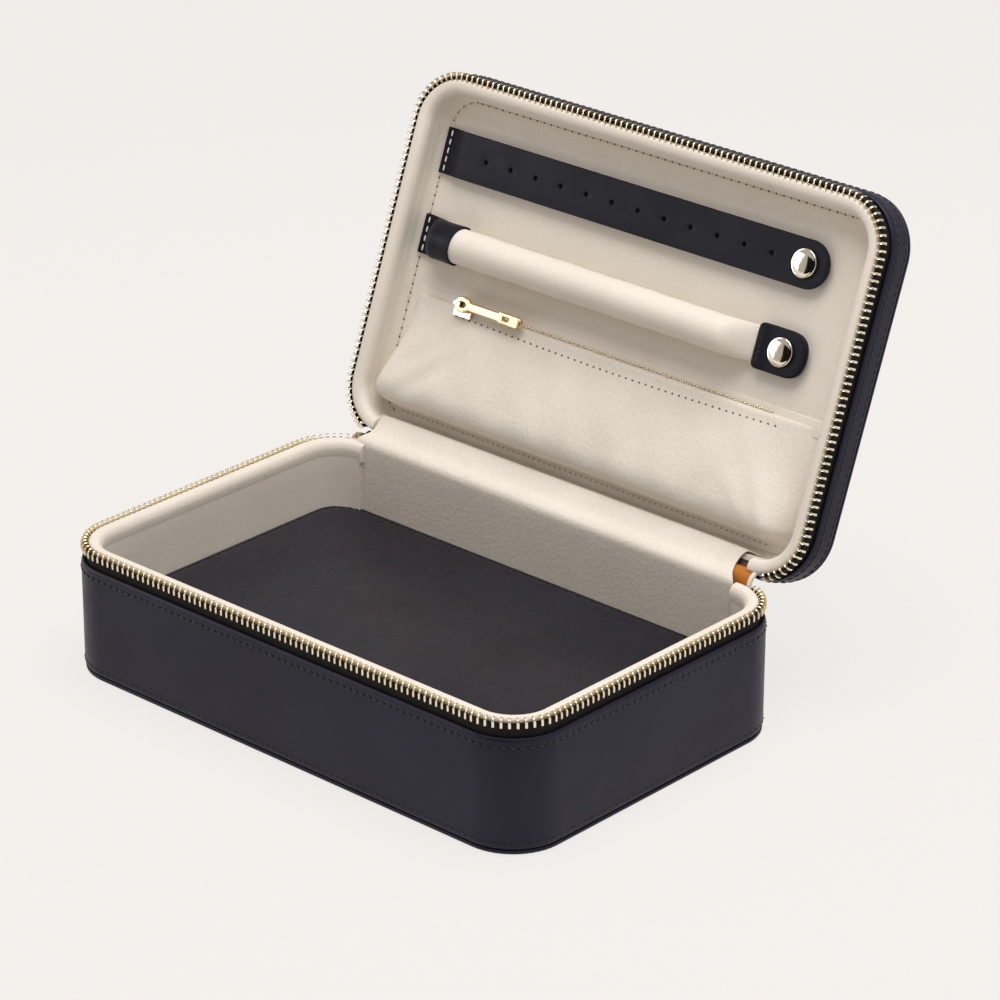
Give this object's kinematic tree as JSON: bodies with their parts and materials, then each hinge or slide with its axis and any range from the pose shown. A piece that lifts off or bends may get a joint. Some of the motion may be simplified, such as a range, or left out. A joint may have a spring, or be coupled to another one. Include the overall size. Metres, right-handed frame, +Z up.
{
  "type": "leather jewellery case",
  "caption": "Zip-round leather jewellery case with a hinged lid, suede lining, an earring strip, a ring roll and a zipped pillow pocket in the lid.",
  "frame": {"origin": "centre of the base's flat underside", "axes": "+X along the long side, front faces -Y, lid hinges at +Y, +Z up"},
  "size_m": [0.2, 0.1877, 0.1632],
  "materials": {
    "navy_leather": "smooth satin, fine pores, tone-on-tone stitching",
    "cream_suede": "matt brushed suede",
    "black_tape": "woven zip tape",
    "pale_gold": "polished pale gold plate",
    "grey_board": "dense board",
    "core_foam": "foam core",
    "tan_leather": "raw flesh side of the hinge leather"
  },
  "bodies": {
    "base": {"base_bottom_leather": "navy_leather", "base_bottom_board": "grey_board", "base_leather_band": "navy_leather", "base_wall_board": "grey_board", "base_floor_core": "core_foam", "base_floor_pad": "navy_leather", "base_wall_lining": "cream_suede", "base_rim_bead": "cream_suede", "base_zip_tape": "black_tape", "base_zip_teeth": "pale_gold", "zip_end_stop": "pale_gold", "hinge_leather": "tan_leather", "hinge_lining": "cream_suede"},
    "lid": {"lid_panel_leather": "navy_leather", "lid_panel_board": "grey_board", "lid_leather_band": "navy_leather", "lid_wall_board": "grey_board", "lid_floor_lining": "cream_suede", "lid_wall_lining": "cream_suede", "lid_rim_bead": "cream_suede", "lid_zip_tape": "black_tape", "lid_zip_teeth": "pale_gold", "strip_snap_stud": "pale_gold", "roll_snap_stud": "pale_gold", "pocket_pillow": "cream_suede", "pocket_zip_tape": "cream_suede", "pocket_zip_teeth": "pale_gold"},
    "zip_slider": {"zip_slider": "pale_gold", "zip_crown": "pale_gold"},
    "zip_puller": {"zip_puller": "pale_gold"},
    "earring_strip": {"earring_strip": "navy_leather", "strip_snap_socket": "pale_gold", "strip_snap_cap": "pale_gold"},
    "ring_roll": {"roll_core": "core_foam", "roll_cover": "cream_suede", "roll_left_tab": "navy_leather", "roll_right_tab": "navy_leather", "roll_snap_socket": "pale_gold", "roll_snap_cap": "pale_gold"},
    "pocket_slider": {"pocket_slider": "pale_gold", "pocket_slider_crown": "pale_gold"},
    "pocket_puller": {"pocket_puller": "pale_gold"}
  },
  "joints": [
    {"name": "lid_hinge", "type": "hinge", "parent": "base", "child": "lid", "pos_m": [0, 0.0635, 0.045], "axis": [1, 0, 0], "range_deg": [0, 111], "deforming": ["hinge_leather", "hinge_lining"]},
    {"name": "zip_slider_run", "type": "hinge", "parent": "base", "child": "zip_slider", "pos_m": [-0.0815, 0.045, 0.045], "axis": [0, 0, 1], "range_deg": [0, 66]},
    {"name": "zip_puller_swing", "type": "hinge", "parent": "zip_slider", "child": "zip_puller", "pos_m": [-0.08543, 0.06522, 0.0441], "axis": [0.9816, 0.1908, 0], "range_deg": [0, 50]},
    {"name": "earring_strip_lift", "type": "hinge", "parent": "lid", "child": "earring_strip", "pos_m": [-0.0905, 0.10841, 0.13466], "axis": [0, 0.3584, 0.9336], "range_deg": [-75, 0]},
    {"name": "ring_roll_lift", "type": "hinge", "parent": "lid", "child": "ring_roll", "pos_m": [-0.0909, 0.09948, 0.10692], "axis": [0, 0.3584, 0.9336], "range_deg": [-60, 0]},
    {"name": "pocket_slider_run", "type": "slide", "parent": "lid", "child": "pocket_slider", "axis": [1, 0, 0], "range_m": [0, 0.126]},
    {"name": "pocket_puller_swing", "type": "hinge", "parent": "pocket_slider", "child": "pocket_puller", "pos_m": [-0.06415, 0.08808, 0.09159], "axis": [0, 0.3584, 0.9336], "range_deg": [-100, 0]}
  ]
}
